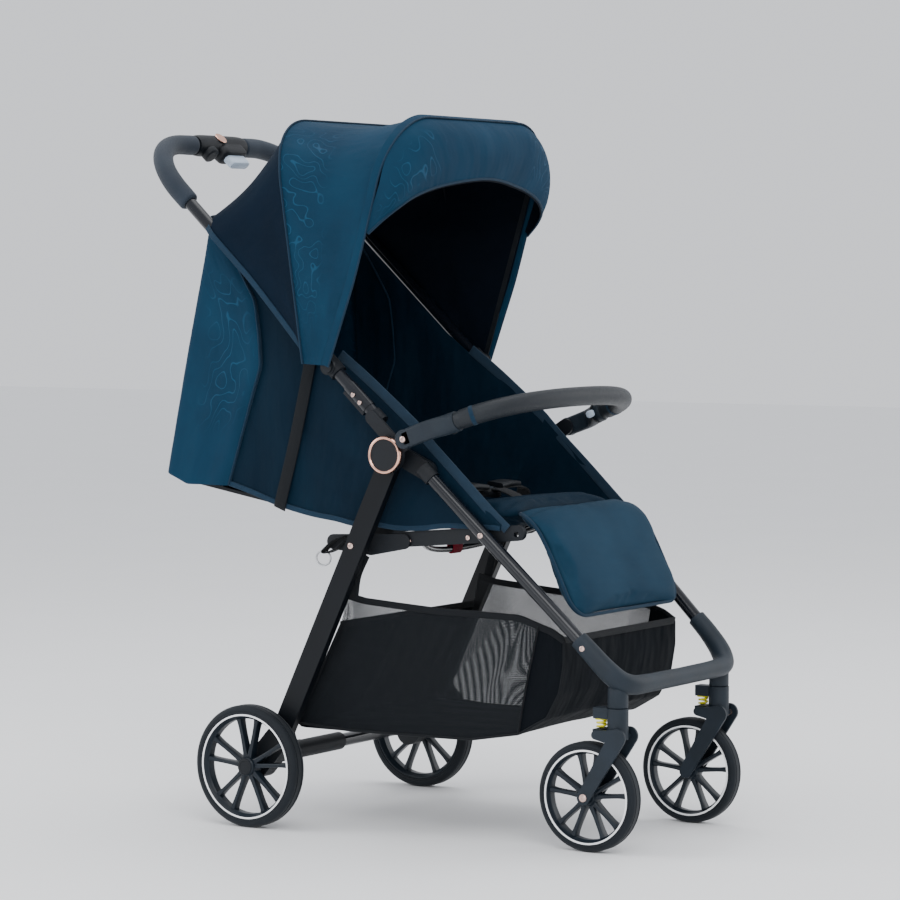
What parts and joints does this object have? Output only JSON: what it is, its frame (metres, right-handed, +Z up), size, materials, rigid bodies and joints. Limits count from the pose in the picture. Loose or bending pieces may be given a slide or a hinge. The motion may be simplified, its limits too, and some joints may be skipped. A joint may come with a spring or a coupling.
{
  "type": "folding pushchair",
  "caption": "Folding pushchair with flat-reclining seat, three-panel hood with peak, bumper bar, leg rest, mesh basket, sprung caster front wheels and larger rear wheels.",
  "frame": {"origin": "centre of the bounding box, on the floor that the wheels stand on", "axes": "+Z up, -Y towards the front, +X to the right seen from behind"},
  "size_m": [0.492, 0.8502, 1.0373],
  "materials": {
    "frame_black": "gloss black powder coat on tube",
    "leg_black": "satin black flat-oval tube",
    "bracket_blue": "fine moulded grain, slate blue black",
    "plastic_dark": "moulded nylon",
    "rose_gold": "polished rose gold plating",
    "rivet_steel": "rivet heads",
    "foam_grip": "closed-cell foam grip",
    "lever_grey": "pale grey moulded plastic",
    "hood_cloth": "woven polyester with a soft sheen and tone-on-tone embossed lines",
    "hood_rear_cloth": "woven polyester, plain",
    "seat_cloth": "plain woven polyester",
    "pad_cloth": "padded woven polyester",
    "mesh_cloth": "black net and coated cloth",
    "webbing": "black webbing",
    "strap_red": "dark red webbing",
    "bumper_leather": "synthetic leather sleeve",
    "rim_plastic": "moulded spoked rim",
    "tyre": "foam rubber tyre with grooves",
    "spring_yellow": "yellow elastomer spring"
  },
  "bodies": {
    "frame": {"front_legs": "frame_black", "hub_brackets": "plastic_dark", "hub_covers": "plastic_dark", "badge_rings": "rose_gold", "front_bracket": "bracket_blue", "frame_rivets": "rivet_steel", "seat_rails": "plastic_dark", "seat_cushion": "pad_cloth", "under_seat_bar": "frame_black", "pull_strap": "strap_red", "backrest_pivots": "rivet_steel", "side_panel_front": "seat_cloth", "basket": "mesh_cloth", "harness_straps": "webbing", "buckle": "plastic_dark"},
    "upper_frame": {"handle_tube": "frame_black", "handle_grips": "foam_grip", "handle_box": "plastic_dark", "hub_plates": "plastic_dark", "hood_clamps": "plastic_dark", "hood_hinge_discs": "plastic_dark", "hood_rear_panel": "hood_rear_cloth", "rear_curtain": "hood_cloth", "side_panel_rear": "seat_cloth"},
    "buckle_button": {"buckle_button": "plastic_dark"},
    "squeeze_lever": {"squeeze_lever": "lever_grey"},
    "thumb_button": {"thumb_button": "plastic_dark"},
    "latch_sliders": {"latch_sliders": "plastic_dark"},
    "front_bow": {"front_bow": "plastic_dark", "hood_visor": "hood_cloth"},
    "mid_bow": {"mid_bow": "plastic_dark", "hood_mid_panel": "hood_cloth"},
    "backrest": {"backrest_board": "plastic_dark", "backrest_pad": "pad_cloth", "shoulder_pads": "webbing"},
    "legrest": {"legrest_pad": "pad_cloth"},
    "bumper_arms": {"bumper_arms": "bracket_blue"},
    "bumper_bar": {"bumper_bar": "bumper_leather"},
    "bumper_button_left": {"bumper_button_left": "lever_grey"},
    "bumper_button_right": {"bumper_button_right": "lever_grey"},
    "rear_frame": {"rear_legs": "leg_black", "rear_brackets": "plastic_dark", "rear_axle_tube": "frame_black"},
    "brake_pedal": {"brake_pedal": "plastic_dark"},
    "side_links": {"side_links": "plastic_dark", "carry_loops": "webbing"},
    "caster_left": {"caster_housing_left": "bracket_blue", "spring_left": "spring_yellow"},
    "fork_left": {"fork_left": "bracket_blue"},
    "front_wheel_left": {"front_rim_left": "rim_plastic", "front_tyre_left": "tyre"},
    "rear_wheel_left": {"rear_rim_left": "rim_plastic", "rear_tyre_left": "tyre"},
    "caster_right": {"caster_housing_right": "bracket_blue", "spring_right": "spring_yellow"},
    "fork_right": {"fork_right": "bracket_blue"},
    "front_wheel_right": {"front_rim_right": "rim_plastic", "front_tyre_right": "tyre"},
    "rear_wheel_right": {"rear_rim_right": "rim_plastic", "rear_tyre_right": "tyre"}
  },
  "joints": [
    {"name": "handle_fold", "type": "hinge", "parent": "frame", "child": "upper_frame", "pos_m": [0, -0.052, 0.553], "axis": [1, 0, 0], "range_deg": [0, 98], "deforming": ["rear_curtain", "side_panel_rear", "hood_rear_panel"]},
    {"name": "rear_leg_fold", "type": "hinge", "parent": "frame", "child": "rear_frame", "pos_m": [0, -0.052, 0.553], "axis": [1, 0, 0], "range_deg": [-44.6, 0]},
    {"name": "side_link_fold", "type": "hinge", "parent": "rear_frame", "child": "side_links", "pos_m": [0, 0.018, 0.419], "axis": [1, 0, 0], "range_deg": [0, 44.6]},
    {"name": "bumper_fold", "type": "hinge", "parent": "frame", "child": "bumper_arms", "pos_m": [0, -0.089, 0.577], "axis": [1, 0, 0], "range_deg": [0, 19.6]},
    {"name": "bumper_pull", "type": "slide", "parent": "bumper_arms", "child": "bumper_bar", "axis": [0, -0.9397, 0.342], "range_m": [0, 0.06]},
    {"name": "bumper_button_left", "type": "slide", "parent": "bumper_arms", "child": "bumper_button_left", "axis": [-1, 0, 0], "range_m": [0, 0.003], "stiffness_N_per_m": 400, "springref_m": -0.002},
    {"name": "bumper_button_right", "type": "slide", "parent": "bumper_arms", "child": "bumper_button_right", "axis": [1, 0, 0], "range_m": [0, 0.003], "stiffness_N_per_m": 400, "springref_m": -0.002},
    {"name": "hood_fold", "type": "hinge", "parent": "upper_frame", "child": "front_bow", "pos_m": [0, 0.055, 0.677], "axis": [1, 0, 0], "range_deg": [-56, 0], "deforming": ["hood_mid_panel", "hood_visor"]},
    {"name": "mid_bow_fold", "type": "hinge", "parent": "upper_frame", "child": "mid_bow", "pos_m": [0, 0.055, 0.677], "axis": [1, 0, 0], "range_deg": [-25.2, 0]},
    {"name": "backrest_recline", "type": "hinge", "parent": "frame", "child": "backrest", "pos_m": [0, -0.04, 0.428], "axis": [-1, 0, 0], "range_deg": [-50, 0]},
    {"name": "legrest_tilt", "type": "hinge", "parent": "frame", "child": "legrest", "pos_m": [0, -0.24, 0.444], "axis": [1, 0, 0], "range_deg": [-58, 0]},
    {"name": "brake_pedal", "type": "hinge", "parent": "rear_frame", "child": "brake_pedal", "pos_m": [0, 0.18, 0.1], "axis": [1, 0, 0], "range_deg": [-15, 0]},
    {"name": "squeeze_lever", "type": "slide", "parent": "upper_frame", "child": "squeeze_lever", "axis": [0, 0.7314, 0.682], "range_m": [0, 0.008], "stiffness_N_per_m": 500, "springref_m": -0.003},
    {"name": "latch_slide", "type": "slide", "parent": "upper_frame", "child": "latch_sliders", "axis": [0, 0.7314, 0.682], "range_m": [0, 0.01]},
    {"name": "thumb_button", "type": "slide", "parent": "upper_frame", "child": "thumb_button", "axis": [0, 0.7314, 0.682], "range_m": [0, 0.003], "stiffness_N_per_m": 400, "springref_m": -0.002},
    {"name": "buckle_button", "type": "slide", "parent": "frame", "child": "buckle_button", "axis": [0, 0.1392, -0.9903], "range_m": [0, 0.002], "stiffness_N_per_m": 400, "springref_m": -0.002},
    {"name": "caster_swivel_left", "type": "hinge", "parent": "frame", "child": "caster_left", "pos_m": [-0.15, -0.392, 0.19], "axis": [0, 0, 1], "continuous": true},
    {"name": "suspension_left", "type": "hinge", "parent": "caster_left", "child": "fork_left", "pos_m": [-0.15, -0.401, 0.166], "axis": [1, 0, 0], "range_deg": [0, 6], "stiffness_Nm_per_rad": 20, "springref_deg": -8.59, "deforming": ["spring_left"]},
    {"name": "front_wheel_spin_left", "type": "hinge", "parent": "fork_left", "child": "front_wheel_left", "pos_m": [-0.15, -0.347, 0.078], "axis": [1, 0, 0], "continuous": true},
    {"name": "rear_wheel_spin_left", "type": "hinge", "parent": "rear_frame", "child": "rear_wheel_left", "pos_m": [-0.232, 0.182, 0.09], "axis": [1, 0, 0], "continuous": true},
    {"name": "caster_swivel_right", "type": "hinge", "parent": "frame", "child": "caster_right", "pos_m": [0.15, -0.392, 0.19], "axis": [0, 0, 1], "continuous": true},
    {"name": "suspension_right", "type": "hinge", "parent": "caster_right", "child": "fork_right", "pos_m": [0.15, -0.401, 0.166], "axis": [1, 0, 0], "range_deg": [0, 6], "stiffness_Nm_per_rad": 20, "springref_deg": -8.59, "deforming": ["spring_right"]},
    {"name": "front_wheel_spin_right", "type": "hinge", "parent": "fork_right", "child": "front_wheel_right", "pos_m": [0.15, -0.347, 0.078], "axis": [1, 0, 0], "continuous": true},
    {"name": "rear_wheel_spin_right", "type": "hinge", "parent": "rear_frame", "child": "rear_wheel_right", "pos_m": [0.232, 0.182, 0.09], "axis": [1, 0, 0], "continuous": true}
  ],
  "couplings": [
    {"joint": "rear_leg_fold", "follows": "handle_fold", "ratio": -0.4545},
    {"joint": "side_link_fold", "follows": "handle_fold", "ratio": 0.4545},
    {"joint": "bumper_fold", "follows": "handle_fold", "ratio": 0.2},
    {"joint": "mid_bow_fold", "follows": "hood_fold", "ratio": 0.45},
    {"joint": "latch_slide", "follows": "squeeze_lever", "ratio": 1.25}
  ]
}
